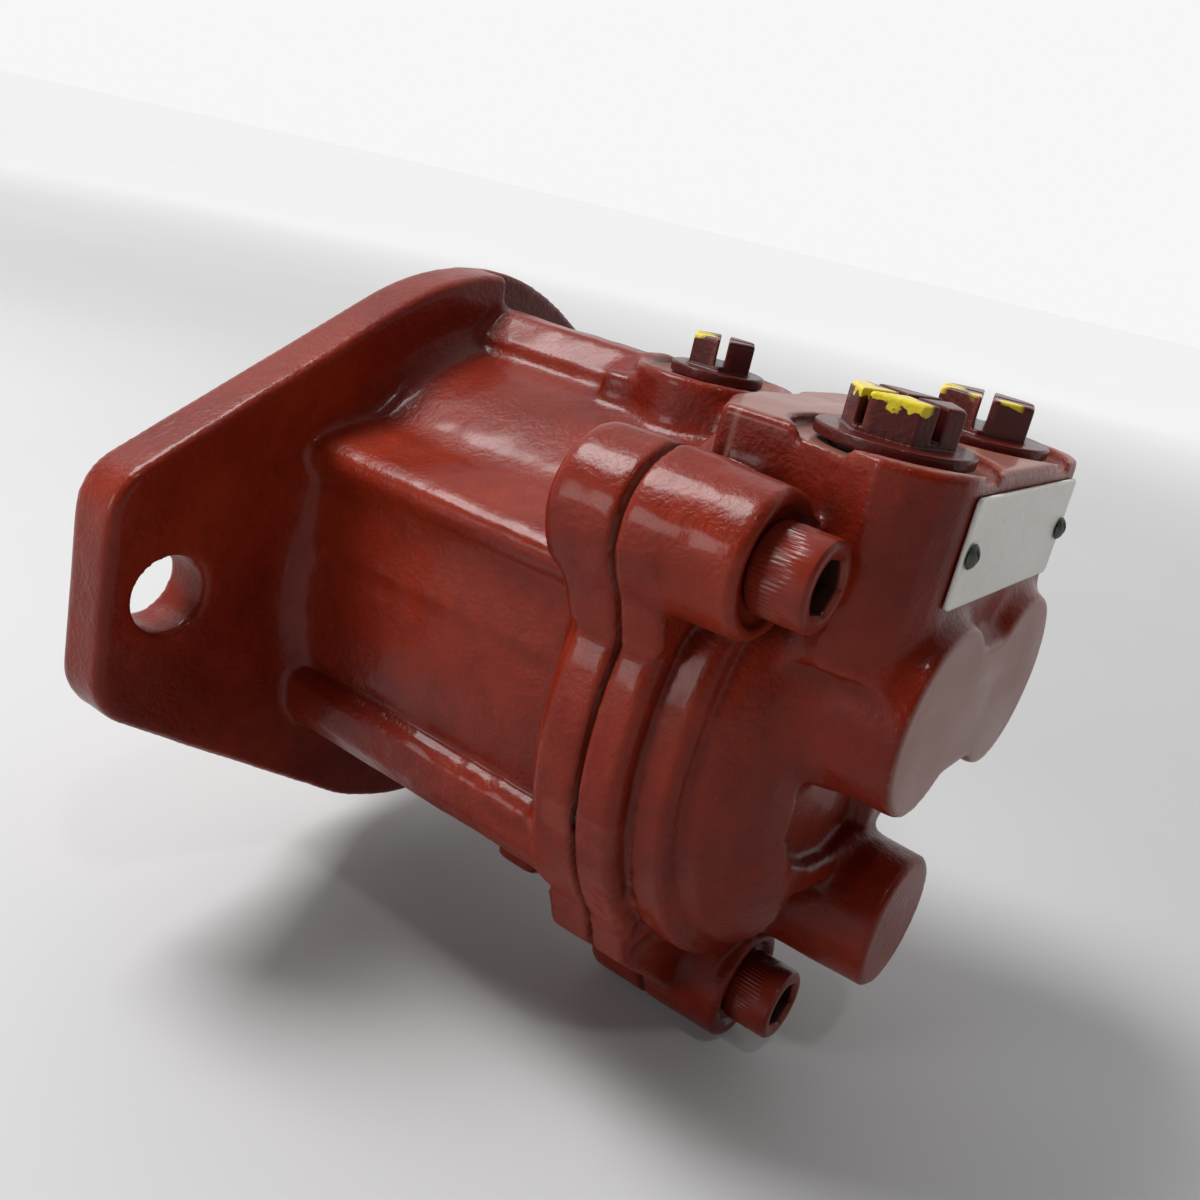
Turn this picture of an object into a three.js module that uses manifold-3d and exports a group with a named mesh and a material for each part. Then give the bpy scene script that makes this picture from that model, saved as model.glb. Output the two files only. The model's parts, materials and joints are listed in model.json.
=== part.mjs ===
// Fixed displacement in-line axial piston pump, SAE B two-bolt mounting.
// Millimetres. Origin: where the shaft axis meets the mounting face.
// +X runs along the shaft axis from the mounting face to the rear cover,
// +Z is the side with the ports, and the flange ears lie along Y.
import * as THREE from 'three';
import { mergeVertices } from 'three/addons/utils/BufferGeometryUtils.js';
import Module from 'manifold-3d';

const wasm = await Module();
wasm.setup();

// ---------- driving dimensions ----------
const GAP = 0.3;                 // working gap between neighbouring pieces

const PILOT_R = 50.8;            // SAE B pilot, 101.6 mm
const PILOT_H = 9.7;
const EAR_HOLE_Y = 73.025;       // half of the 146.05 mm bolt spacing
const EAR_HOLE_R = 7.15;
const FLANGE_T = 11;
const FLANGE_R = 59.4;
const FLANGE_SLOPE = 0.51;       // slope of the shoulder from crown to ear, rad
const EAR_Y = 85.7;
const EAR_CORNER = 11;
const RELIEF_X = 4.5;            // thickness left where the upper shoulder is cut back

const BARREL_R = 45.5;
const CAVITY_R = 38.5;
const CAVITY_X = 23;
const SPLIT_X = 85.5;            // joint between housing and cover
const JOINT_R = 52;
const JOINT_X = 75;              // front of the housing joint flange
const LOBE_X = 71.5;
const LOBE_R = 12;

const SCREW_YZ = [[-45.4, 36.3], [45.4, 36.3], [0, -57.8]];
const SCREW_R = 4.76;            // 3/8 in cap screw
const SCREW_HEAD_R = 7.14;
const SCREW_HEAD_H = 9.5;
const SCREW_END_X = 73.5;
const BOSS_X = 105.5;            // rear end of the upper screw bosses
const SEAT_X = 104.05;
const LOW_BOSS_X = 102.6;
const LOW_SEAT_X = 101.2;

const BAND_X = 94;               // rear edge of the cover's joint band
const COVER_X = 121;
const REAR_BOSS = { y: 17.4, z: 14.4, r: 16.1, x: 126.4 };
const LOW_BLIND = { y: 7.4, z: -34, r: 13.2, x: 124 };

const BLOCK_TOP = 54;
const BLOCK_REAR_X = 123.1;
const PORT = { x: 106.6, y: 18.6, spotR: 16.4, spotD: 1.4, boreR: 9.6 };
const GALLERY_R = 7.5;

const DRAIN = { x: 63, r: 15, top: 53, spotR: 12, spotD: 1.0, boreR: 5.1 };

const PLATE = { x: 122.67, half: 25.2, z0: 33.6, z1: 51, t: 0.8 };

const SHAFT_R = 11.11;           // SAE B keyed shaft, 22.2 mm
const SHAFT_NOSE_X = -46;
const BRG_IN_R = 12.7;

const SWASH = Math.PI * 14 / 180; // swash angle
const SWASH_X = 36;              // cam face on the shaft axis
const PITCH_R = 22.5;            // piston pitch circle
const N_PISTON = 9;
const PISTON_R = 6.2;
const BALL_R = 4.1;
const BALL_H = 10;               // ball centres above the cam face
const BLOCK_X0 = 57;
const BLOCK_X1 = 81.7;

// ---------- helpers ----------
function toM(geom) {
  let g = geom.index ? geom.toNonIndexed() : geom.clone();
  for (const k of Object.keys(g.attributes)) if (k !== 'position') g.deleteAttribute(k);
  g = mergeVertices(g, 1e-4);
  const build = (idx) => new wasm.Manifold(new wasm.Mesh({
    numProp: 3,
    vertProperties: new Float32Array(g.attributes.position.array),
    triVerts: new Uint32Array(idx),
  }));
  const idx = [];
  const src = g.index.array;
  for (let i = 0; i < src.length; i += 3) {
    const [a, b, c] = [src[i], src[i + 1], src[i + 2]];
    if (a !== b && b !== c && a !== c) idx.push(a, b, c);
  }
  let m = build(idx);
  if (m.volume() < 0) {
    const flip = [];
    for (let i = 0; i < idx.length; i += 3) flip.push(idx[i], idx[i + 2], idx[i + 1]);
    m = build(flip);
  }
  return m;
}
function toG(m) {
  const me = m.getMesh();
  const n = me.vertProperties.length / me.numProp;
  const pos = new Float32Array(n * 3);
  for (let i = 0; i < n; i++) for (let k = 0; k < 3; k++) pos[3 * i + k] = me.vertProperties[i * me.numProp + k];
  const g = new THREE.BufferGeometry();
  g.setAttribute('position', new THREE.BufferAttribute(pos, 3));
  g.setIndex(new THREE.BufferAttribute(new Uint32Array(me.triVerts), 1));
  g.computeVertexNormals();
  return g;
}
// revolve [axial, radius] pairs around X
function latheX(profile, seg = 24) {
  const g = new THREE.LatheGeometry(profile.map(([x, r]) => new THREE.Vector2(r, x)), seg);
  g.rotateZ(-Math.PI / 2);
  return g;
}
// revolve [axial, radius] pairs around Z
function latheZ(profile, seg = 24) {
  const g = new THREE.LatheGeometry(profile.map(([z, r]) => new THREE.Vector2(r, z)), seg);
  g.rotateX(Math.PI / 2);
  return g;
}
const rod = (x0, x1, r, y = 0, z = 0, seg = 24) => {
  const g = latheX([[x0, 0], [x0, r], [x1, r], [x1, 0]], seg); g.translate(0, y, z); return toM(g);
};
const rodZ = (z0, z1, r, x = 0, y = 0, seg = 24) => {
  const g = latheZ([[z0, 0], [z0, r], [z1, r], [z1, 0]], seg); g.translate(x, y, 0); return toM(g);
};
const cone = (x0, r0, x1, r1, y = 0, z = 0, seg = 24) => {
  const g = latheX([[x0, 0], [x0, r0], [x1, r1], [x1, 0]], seg); g.translate(y === undefined ? 0 : 0, y, z); return toM(g);
};
// outline in (Y, Z), extruded along X
const TO_X = new THREE.Matrix4().makeBasis(
  new THREE.Vector3(0, 1, 0), new THREE.Vector3(0, 0, 1), new THREE.Vector3(1, 0, 0));
function slabX(pts, x0, x1, bevel = 0) {
  const s = new THREE.Shape(pts.map(([y, z]) => new THREE.Vector2(y, z)));
  const g = new THREE.ExtrudeGeometry(s, {
    depth: x1 - x0 - 2 * bevel, bevelEnabled: bevel > 0, bevelThickness: bevel, bevelSize: bevel,
    bevelOffset: -bevel, bevelSegments: 1, steps: 1,
  });
  g.translate(0, 0, x0 + bevel);
  g.applyMatrix4(TO_X);
  return toM(g);
}
// outline in (X, Y), extruded along Z
function slabZ(pts, z0, z1, bevel = 0) {
  const s = new THREE.Shape(pts.map(([x, y]) => new THREE.Vector2(x, y)));
  const g = new THREE.ExtrudeGeometry(s, {
    depth: z1 - z0 - 2 * bevel, bevelEnabled: bevel > 0, bevelThickness: bevel, bevelSize: bevel,
    bevelOffset: -bevel, bevelSegments: 1, steps: 1,
  });
  g.translate(0, 0, z0 + bevel);
  return toM(g);
}
const box = (x0, x1, y0, y1, z0, z1) => {
  const g = new THREE.BoxGeometry(x1 - x0, y1 - y0, z1 - z0);
  g.translate((x0 + x1) / 2, (y0 + y1) / 2, (z0 + z1) / 2);
  return toM(g);
};
const arc = (cy, cz, r, a0, a1, n) => {
  const o = [];
  for (let i = 0; i <= n; i++) { const a = a0 + (a1 - a0) * i / n; o.push([cy + r * Math.cos(a), cz + r * Math.sin(a)]); }
  return o;
};
const mirrorY = (pts) => pts.map(([y, z]) => [-y, z]).reverse();
const ringX = (x0, x1, ri, ro, seg = 24) => latheX([[x0, ri], [x0, ro], [x1, ro], [x1, ri], [x0, ri]], seg);
const ringZ = (z0, z1, ri, ro, seg = 20) => latheZ([[z0, ri], [z0, ro], [z1, ro], [z1, ri], [z0, ri]], seg);
const torus = (R, r, seg, tube) => new THREE.TorusGeometry(R, r, tube, seg);
const D = Math.PI / 180;

const COL = {
  paint: { color: 0x6e211a, roughness: 0.35, metalness: 0.0 },
  plug: { color: 0x5d2019, roughness: 0.35, metalness: 0.0 },
  steel: { color: 0xb4b4b0, roughness: 0.35, metalness: 0.9 },
  iron: { color: 0x6c6c6c, roughness: 0.5, metalness: 0.7 },
  bronze: { color: 0xa9803f, roughness: 0.4, metalness: 0.8 },
  rubber: { color: 0x1c1c1c, roughness: 0.8, metalness: 0.0 },
  plate: { color: 0xb9b6b1, roughness: 0.45, metalness: 0.4 },
  dark: { color: 0x3b3f3a, roughness: 0.5, metalness: 0.6 },
};
const root = new THREE.Group();
function add(name, geom, look, parent = root) {
  const m = new THREE.Mesh(toG(toM(geom)), new THREE.MeshStandardMaterial(COL[look]));
  m.name = name;
  parent.add(m);
  return m;
}

// ---------- housing ----------
function flangeOutline() {
  const sp = Math.sin(FLANGE_SLOPE), cp = Math.cos(FLANGE_SLOPE);
  const a = Math.PI / 2 - FLANGE_SLOPE;        // tangent point angle on the crown, right side
  // right upper quarter, from the ear's mid line to the crown
  const zc = (FLANGE_R - sp * EAR_Y) / cp;     // where the slope meets the ear end
  // corner arc tangent to the ear end (Y = EAR_Y) and to the slope line
  const t = EAR_CORNER * Math.tan((Math.PI / 2 - FLANGE_SLOPE) / 2);
  const cyc = EAR_Y - EAR_CORNER, czc = zc - t;
  const q = arc(cyc, czc, EAR_CORNER, 0, Math.PI / 2 - FLANGE_SLOPE, 4);
  const crown = arc(0, 0, FLANGE_R, a, Math.PI - a, 8);
  const upper = [...q, ...crown, ...mirrorY(q)];
  const lower = upper.map(([y, z]) => [y, -z]).reverse();
  return [...upper, ...lower];
}
const mirror = (p) => p.map(([y, z]) => [-y, z]).reverse();
const RIB_UL = [[-28, 24], [-30.5, 31.6], [-44.8, 27.2], [-46.9, 25.2], [-47.2, 21], [-46.6, 8], [-40, 2]];
const RIB_LL = [[-36, -14], [-43, -17.2], [-45.2, -20.8], [-44.6, -27], [-41.4, -31.2], [-34, -33.5], [-28, -30]];
const RIB_TOP = [[3.5, 40], [3.5, 53], [-4, 53], [-10.5, 47.2], [-12, 40]];

let housing = slabX(flangeOutline(), 0, FLANGE_T, 0.8);
housing = housing.subtract(box(RELIEF_X, FLANGE_T + 1, -1, 44, 38, 70));
housing = housing.add(toM(latheX([[-PILOT_H, 0], [-PILOT_H, PILOT_R - 1.2], [-PILOT_H + 1.2, PILOT_R], [1, PILOT_R], [1, 0]], 36)));
housing = housing.add(rod(0.5, SPLIT_X, BARREL_R, 0, 0, 32));
housing = housing.add(toM(latheX([[FLANGE_T - 1, 0], [FLANGE_T - 1, 50.5], [FLANGE_T + 1.2, 47.6], [FLANGE_T + 5, BARREL_R - 0.3], [FLANGE_T + 5, 0]], 32)));
for (const rib of [RIB_UL, mirror(RIB_UL), RIB_LL, mirror(RIB_LL)]) housing = housing.add(slabX(rib, 8, 77));
housing = housing.add(slabX(RIB_TOP, 4, 52));
housing = housing.add(toM(latheX([[JOINT_X - 3, 0], [JOINT_X - 3, BARREL_R], [JOINT_X, JOINT_R - 1.5], [JOINT_X + 1.6, JOINT_R], [SPLIT_X, JOINT_R], [SPLIT_X, 0]], 36)));
for (const [y, z] of SCREW_YZ) {
  const L = latheX([[LOBE_X, 0], [LOBE_X, LOBE_R - 1.8], [LOBE_X + 1.8, LOBE_R], [SPLIT_X, LOBE_R], [SPLIT_X, 0]], 16);
  L.translate(0, y, z);
  housing = housing.add(toM(L));
}
// webs that carry the lobes into the joint flange
const WEB_U = [[-30, 30], [-33.5, 45.5], [-46.5, 48.2], [-56.8, 34], [-49.5, 18]];
const WEB_LOW = [[-38, -36], [-34.6, -43.6], [-11.8, -60.2], [11.8, -60.2], [34.6, -43.6], [38, -36]];
housing = housing.add(slabX(WEB_U, LOBE_X + 3, SPLIT_X)).add(slabX(mirror(WEB_U), LOBE_X + 3, SPLIT_X));
housing = housing.add(slabX(WEB_LOW, JOINT_X, SPLIT_X));
// drain boss on top of the barrel
housing = housing.add(rodZ(30, DRAIN.top, DRAIN.r, DRAIN.x, 0, 20));
housing = housing.add(slabZ([[44, -12.5], [62, -14.8], [75.5, -13.5], [75.5, 13.5], [62, 14.8], [44, 12.5]], 36, 50.5));
// low cast pad under the barrel
housing = housing.add(slabX([[-27, -36], [-24, -45.5], [-14, -49.5], [-8, -49.5], [-8, -40]], 54, 64, 1.0));
// inside: cavity, bearing bore, seal bore, shaft way
housing = housing.subtract(rod(CAVITY_X, SPLIT_X + 1, CAVITY_R, 0, 0, 28));
housing = housing.subtract(rod(3.2, CAVITY_X + 1, 29.3, 0, 0, 20));
housing = housing.subtract(rod(-PILOT_H - 1, 2, 19.8, 0, 0, 20));
housing = housing.subtract(rod(-PILOT_H - 2, 5, 14.2, 0, 0, 16));
housing = housing.subtract(toM(ringX(-8.4, -6.8, 15, 22, 20)));
for (const s of [-1, 1]) housing = housing.subtract(rod(-1, FLANGE_T + 1, EAR_HOLE_R, s * EAR_HOLE_Y, 0, 20));
for (const [y, z] of SCREW_YZ) housing = housing.subtract(rod(SCREW_END_X - 0.6, SPLIT_X + 1, SCREW_R + 0.55, y, z, 10));
housing = housing.subtract(rodZ(30, DRAIN.top + 1, DRAIN.boreR + 0.35, DRAIN.x, 0, 14));
housing = housing.subtract(rodZ(DRAIN.top - DRAIN.spotD, DRAIN.top + 2, DRAIN.spotR, DRAIN.x, 0, 20));
// dowel holes and the seal groove in the joint face
const DOWELS = [[-46.6, -13], [46.6, -13]];
for (const [y, z] of DOWELS) housing = housing.subtract(rod(SPLIT_X - 5.5, SPLIT_X + 1, 2.5, y, z, 8));
housing = housing.subtract(toM(ringX(SPLIT_X - 1.6, SPLIT_X + 1, 41.2, 43.7, 28)));
// swashplate dowel holes
const CAM_PINS = [[-30, 0], [30, 0]];
add('housing', toG(housing), 'paint');

// ---------- rear cover ----------
const BLOCK_OUT = [
  [83.5, -31.8], [97, -31.4], [102, -32.4], [107, -35.4], [112, -36.9], [116.5, -35.6], [120.5, -32.2],
  [122.5, -28.4], [BLOCK_REAR_X, -25.8],
];
const blockPts = [...BLOCK_OUT, ...BLOCK_OUT.map(([x, y]) => [x, -y]).reverse(), [77.5, 20], [75.5, 10], [75.5, -10], [78, -20]];
const CX0 = SPLIT_X + GAP;
let cover = toM(latheX([[CX0, 0], [CX0, JOINT_R], [BAND_X - 1.5, JOINT_R], [BAND_X, JOINT_R - 1.5], [BAND_X, 47.8], [99, 48.2], [100.6, 46.8],
  [107, 43.8], [113, 40], [118, 34.5], [COVER_X, 27], [COVER_X, 0]], 36));
// upper screw bosses, webs and block
for (const s of [-1, 1]) {
  const L = latheX([[CX0, 0], [CX0, LOBE_R], [BOSS_X - 1.2, 11.2], [BOSS_X, 10.2], [BOSS_X, 0]], 18);
  L.translate(0, s * 45.4, 36.3);
  cover = cover.add(toM(L));
}
cover = cover.add(slabX(WEB_U, CX0, 95)).add(slabX(mirror(WEB_U), CX0, 95));
cover = cover.add(slabX([[-48, 25], [-36, 15], [36, 15], [48, 25], [48, 36], [42.5, 47.2], [-42.5, 47.2], [-48, 36]], CX0, 103.8));
cover = cover.add(slabX(WEB_LOW, CX0, BAND_X));
{
  const L = latheX([[CX0, 0], [CX0, LOBE_R], [LOW_BOSS_X - 1.2, 11.4], [LOW_BOSS_X, 10.4], [LOW_BOSS_X, 0]], 18);
  L.translate(0, 0, -57.8);
  cover = cover.add(toM(L));
  cover = cover.add(slabX([[-11.5, -57], [-14, -40], [14, -40], [11.5, -57]], CX0, 100));
}
// port block, drafted on its sides
{
  const block = slabZ(blockPts, 5, BLOCK_TOP, 0.7);
  cover = cover.add(block.intersect(box(CX0, 130, -60, 60, 22, 60)));
  // front lip reaching over the joint, kept clear of the housing
  let lip = slabZ(blockPts, 46, BLOCK_TOP, 0.7).intersect(box(76.5, 90, -60, 60, 48.2, 60));
  lip = lip.subtract(rod(60, SPLIT_X + GAP, JOINT_R + 0.35, 0, 0, 36));
  lip = lip.subtract(rodZ(20, 80, DRAIN.r + 0.35, DRAIN.x, 0, 20));
  for (const q of [-1, 1]) {
    lip = lip.subtract(rod(60, SPLIT_X + GAP, LOBE_R + 0.4, q * 45.4, 36.3, 16));
    lip = lip.subtract(slabX(q < 0 ? WEB_U.map(([y, z]) => [y, z + 0.5]) : mirror(WEB_U).map(([y, z]) => [y, z + 0.5]), 60, SPLIT_X + GAP));
  }
  cover = cover.add(lip);
}
// twin gallery bosses on the rear face and the low blind boss
for (const s of [-1, 1]) {
  const L = latheX([[100, 0], [100, 19], [112, 17], [REAR_BOSS.x, REAR_BOSS.r], [REAR_BOSS.x, 0]], 24);
  L.translate(0, s * REAR_BOSS.y, REAR_BOSS.z);
  cover = cover.add(toM(L));
}
cover = cover.add(slabX([[-17.4, 6], [17.4, 6], [17.4, 24], [-17.4, 24]], 100, REAR_BOSS.x));
{
  const L = latheX([[96, 0], [96, LOW_BLIND.r + 0.8], [LOW_BLIND.x, LOW_BLIND.r], [LOW_BLIND.x, 0]], 20);
  L.translate(0, LOW_BLIND.y, LOW_BLIND.z);
  cover = cover.add(toM(L));
}
// cuts: screw holes and seats
SCREW_YZ.forEach(([y, z], i) => {
  const low = i === 2;
  cover = cover.subtract(rod(SPLIT_X - 1, 130, SCREW_R + 0.6, y, z, 10));
  cover = cover.subtract(rod(low ? LOW_SEAT_X : SEAT_X, 118, i === 2 ? 8.6 : 9.1, y, z, 18));
});
// ports, galleries, shaft bearing pocket
for (const s of [-1, 1]) {
  cover = cover.subtract(rodZ(REAR_BOSS.z, BLOCK_TOP + 1, PORT.boreR + 0.25, PORT.x, s * PORT.y, 18));
  cover = cover.subtract(rodZ(BLOCK_TOP - PORT.spotD, BLOCK_TOP + 2, PORT.spotR, PORT.x, s * PORT.y, 28));
  cover = cover.subtract(rod(SPLIT_X - 1, PORT.x + 6, GALLERY_R, s * REAR_BOSS.y, REAR_BOSS.z, 12));
}
cover = cover.subtract(rod(SPLIT_X - 1, 99.5, 11.9, 0, 0, 20));
for (const [y, z] of DOWELS) cover = cover.subtract(rod(SPLIT_X - 1, SPLIT_X + 6, 2.5, y, z, 8));
// drive screw holes behind the nameplate
const RIVETS = [[-22.8, 42.2], [22.8, 42.2]];
for (const [y, z] of RIVETS) cover = cover.subtract(rod(118, 126, 1.3, y, z, 8));
add('rear_cover', toG(cover), 'paint');

// ---------- cover hardware ----------
function hexPoly(af, rot = 0) {
  const R = af / Math.sqrt(3), o = [];
  for (let i = 0; i < 6; i++) o.push([R * Math.cos(rot + i * Math.PI / 3), R * Math.sin(rot + i * Math.PI / 3)]);
  return o;
}
SCREW_YZ.forEach(([y, z], i) => {
  const seat = (i === 2 ? LOW_SEAT_X : SEAT_X) + 0.05 + GAP - 0.05;
  let s = toM(latheX([[SCREW_END_X, 0], [SCREW_END_X, SCREW_R - 0.6], [SCREW_END_X + 0.6, SCREW_R], [seat, SCREW_R], [seat, SCREW_HEAD_R],
    [seat + SCREW_HEAD_H - 0.9, SCREW_HEAD_R], [seat + SCREW_HEAD_H, SCREW_HEAD_R - 0.7], [seat + SCREW_HEAD_H, 0]], 18));
  s = s.subtract(slabX(hexPoly(7.94, 0.35 + i), seat + 4.4, seat + SCREW_HEAD_H + 1));
  const m = add(`cover_screw_${i + 1}`, toG(s), 'plug');
  m.position.set(0, y, z);
});
add('cover_o_ring', (() => { const g = torus(42.45, 0.6, 28, 5); g.rotateY(Math.PI / 2); g.translate(SPLIT_X - 0.8, 0, 0); return g; })(), 'rubber');
DOWELS.forEach(([y, z], i) => {
  const m = add(`cover_dowel_${i + 1}`, latheX([[-4.5, 0], [-4.5, 1.8], [-4, 2.25], [4.3, 2.25], [4.8, 1.8], [4.8, 0]], 8), 'steel');
  m.position.set(SPLIT_X, y, z);
});

// ---------- nameplate ----------
{
  let p = slabX([[-PLATE.half, PLATE.z0], [PLATE.half, PLATE.z0], [PLATE.half, PLATE.z1], [-PLATE.half, PLATE.z1]],
    BLOCK_REAR_X + 0.2, BLOCK_REAR_X + 0.2 + PLATE.t);
  for (const [y, z] of RIVETS) p = p.subtract(rod(110, 130, 1.3, y, z, 8));
  add('nameplate', toG(p), 'plate');
}
RIVETS.forEach(([y, z], i) => {
  const x = BLOCK_REAR_X + 0.2 + PLATE.t + 0.2;
  const m = add(`nameplate_screw_${i + 1}`, latheX([[x - 4.6, 0], [x - 4.6, 0.5], [x - 4, 1.0], [x, 1.0], [x, 2.1], [x + 0.6, 1.8], [x + 1.15, 0]], 8), 'dark');
  m.position.set(0, y, z);
});

// ---------- shipping plugs: hexagon heads with cross slots ----------
function plug({ af, head, disc, discT, spig, depth, slot, slotD, neck, rot, slotRot }) {
  let m = toM(latheZ([[-depth, 0], [-depth, spig - 0.7], [-depth + 0.7, spig], [-2.2, spig], [-2.2, neck], [0, neck], [0, disc], [discT - 0.4, disc], [discT, disc - 0.5], [discT, 0]], 18));
  m = m.add(slabZ(hexPoly(af, rot), discT - 0.2, head));
  const c = Math.cos(slotRot), s = Math.sin(slotRot);
  for (const q of [0, 1]) {
    const [dx, dy] = q ? [-s, c] : [c, s];
    const h = slot / 2, L = af;
    m = m.subtract(slabZ([[L * dx - h * dy, L * dy + h * dx], [-L * dx - h * dy, -L * dy + h * dx], [-L * dx + h * dy, -L * dy - h * dx], [L * dx + h * dy, L * dy - h * dx]], head - slotD, head + 1));
  }
  return m;
}
for (const [name, s, rot, slotRot] of [['port_plug_left', -1, 0.115, -0.424], ['port_plug_right', 1, -0.222, 0.302]]) {
  const m = add(name, toG(plug({ af: 16, head: 8.4, disc: 12.6, discT: 2, spig: PORT.boreR, depth: 15, slot: 1.8, slotD: 5.4, neck: PORT.boreR - 1.7, rot, slotRot })), 'plug');
  m.position.set(PORT.x, s * PORT.y, BLOCK_TOP - PORT.spotD + GAP);
  const o = add(`${name}_o_ring`, torus(PORT.boreR - 0.75, 0.65, 18, 5), 'rubber');
  o.position.set(PORT.x, s * PORT.y, BLOCK_TOP - PORT.spotD + GAP - 1.1);
}
{
  const m = add('drain_plug', toG(plug({ af: 11, head: 7.6, disc: 8.6, discT: 2, spig: DRAIN.boreR, depth: 11, slot: 1.6, slotD: 4.6, neck: DRAIN.boreR - 1.6, rot: 0, slotRot: 0.517 })), 'plug');
  m.position.set(DRAIN.x, 0, DRAIN.top - DRAIN.spotD + GAP);
  const o = add('drain_plug_o_ring', torus(DRAIN.boreR - 0.75, 0.6, 14, 5), 'rubber');
  o.position.set(DRAIN.x, 0, DRAIN.top - DRAIN.spotD + GAP - 1.1);
}

// ---------- shaft, key, bearings, seal ----------
{
  const B = BRG_IN_R - 0.12;
  let s = toM(latheX([[SHAFT_NOSE_X, 0], [SHAFT_NOSE_X, SHAFT_R - 1], [SHAFT_NOSE_X + 1, SHAFT_R], [-5, SHAFT_R], [-4.4, 12.2], [4.5, 12.2], [4.6, B],
    [22.4, B], [22.4, 14.6], [24.2, 14.6], [24.2, 11.2], [84, 11.2], [84.4, 7.9], [98.4, 7.9], [98.8, 7.4], [98.8, 0]], 20));
  s = s.subtract(box(SHAFT_NOSE_X + 4, -16, -3.4, 3.4, 7.4, 20));
  add('drive_shaft', toG(s), 'steel');
}
add('shaft_key', (() => { const g = new THREE.BoxGeometry(25.4, 6.35, 6.35); g.translate(SHAFT_NOSE_X + 4.3 + 12.7, 0, 7.6 + 3.175); return g; })(), 'steel');
add('shaft_seal', latheX([[-6.4, 12.6], [-6.4, 19.5], [1.6, 19.5], [1.6, 17.5], [-4.6, 17.5], [-4.6, 14], [-1.2, 13.6], [-1.2, 12.6], [-6.4, 12.6]], 20), 'rubber');
{
  const o = [...arc(0, 0, 21.1, 60 * D, 60 * D + 2 * Math.PI - 40 * D, 14), ...arc(0, 0, 17.6, 60 * D - 40 * D + 2 * Math.PI, 60 * D, 14)];
  add('seal_retaining_ring', toG(slabX(o, -8.1, -7.1)), 'steel');
}
add('bearing_inner_race', latheX([[5, BRG_IN_R], [5, 17.2], [6.6, 17.2], [6.6, 16.2], [20, 18.6], [20, 20], [22, 20], [22, BRG_IN_R], [5, BRG_IN_R]], 20), 'steel');
add('bearing_outer_race', latheX([[5.2, 22.2], [5.2, 28.9], [20.6, 28.9], [20.6, 25.6], [5.2, 22.2]], 20), 'steel');
add('bearing_roller_ring', latheX([[7.4, 16.95], [7.2, 22.0], [19.2, 24.75], [19.4, 19.1], [7.4, 16.95]], 20), 'steel');
add('rear_needle_bearing', ringX(86.2, 96, 8.4, 11.6, 20), 'steel');

// ---------- swashplate and cam stack ----------
const cam = new THREE.Group();
cam.position.set(SWASH_X, 0, 0);
cam.rotation.set(0, SWASH, 0);        // local +X becomes the cam face normal, tipped down
root.add(cam);
{
  let w = rod(CAVITY_X + GAP, 62, 37.6, 0, 0, 28);
  // keep the side in front of the inclined cam face
  const n = new THREE.Matrix4().makeRotationY(SWASH).setPosition(SWASH_X, 0, 0);
  const g = new THREE.BoxGeometry(80, 200, 200); g.translate(40, 0, 0); g.applyMatrix4(n);
  w = w.subtract(toM(g)).subtract(rod(10, 70, 15.5, 0, 0, 20));
  for (const [y, z] of CAM_PINS) w = w.subtract(rod(10, 29, 2.8, y, z, 8));
  add('swashplate', toG(w), 'iron');
}
add('wear_plate', ringX(GAP, 2.3, 15.3, 34.5, 24), 'bronze', cam);
CAM_PINS.forEach(([y, z], i) => {
  const m = add(`swashplate_pin_${i + 1}`, latheX([[23.3, 0], [23.3, 2.5], [28.4, 2.5], [28.7, 2.2], [28.7, 0]], 8), 'steel');
  m.position.set(0, y, z);
});
const tanA = Math.tan(SWASH), cosA = Math.cos(SWASH), sinA = Math.sin(SWASH);
const BALL_X0 = SWASH_X + BALL_H / cosA;
// rotation by +SWASH about Y sends +X to (cos, 0, -sin): the cam face leans back towards +Z
const ballX = (z) => BALL_X0 + tanA * z;
const toCam = (x, y, z) => [(x - SWASH_X) * cosA - z * sinA, y, (x - SWASH_X) * sinA + z * cosA];
const balls = [];
for (let k = 0; k < N_PISTON; k++) {
  const a = (k * 360 / N_PISTON + 90) * D;
  const y = PITCH_R * Math.cos(a), z = PITCH_R * Math.sin(a);
  balls.push([ballX(z), y, z]);
}
{
  const rr = 31.6;
  const ring = ringX(6.6, 8.4, 14.6, rr, 24);
  ring.translate(0, 0, 7.5 * tanA);   // concentric with the shaft where its plane crosses the axis
  let r = toM(ring);
  for (const [x, y, z] of balls) {
    const [, v, w] = toCam(x, y, z);
    r = r.subtract(rod(0, 20, 6.7, v, w, 8));
  }
  add('shoe_retainer_plate', toG(r), 'steel', cam);
}
balls.forEach(([x, y, z], k) => {
  const [u, v, w] = toCam(x, y, z);
  // slipper pad, neck and crimped socket, about the cam normal
  const s = BALL_R + 0.6;
  const pr = [[2.6, 0], [2.6, 7.3], [5.9, 7.3], [6.2, 6.1], [11.3, 5.9], [11.3, 4.55]];
  for (const t of [16, 52, 90]) pr.push([10 - s * Math.sin(t * D), s * Math.cos(t * D)]);
  pr[pr.length - 1][1] = 0;
  const m = add(`piston_shoe_${k + 1}`, latheX(pr, 8), 'bronze', cam);
  m.position.set(0, v, w);
});
balls.forEach(([x, y, z], k) => {
  const pr = [[-BALL_R, 0]];
  for (const t of [-50, -8, 40]) pr.push([BALL_R * Math.sin(t * D), BALL_R * Math.cos(t * D)]);
  pr.push([4.9, 2.9], [5.6, PISTON_R], [26.6, PISTON_R], [26.6, 3.6], [11, 0]);
  const m = add(`piston_${k + 1}`, latheX(pr, 8), 'steel');
  m.position.set(x, y, z);
});
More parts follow.
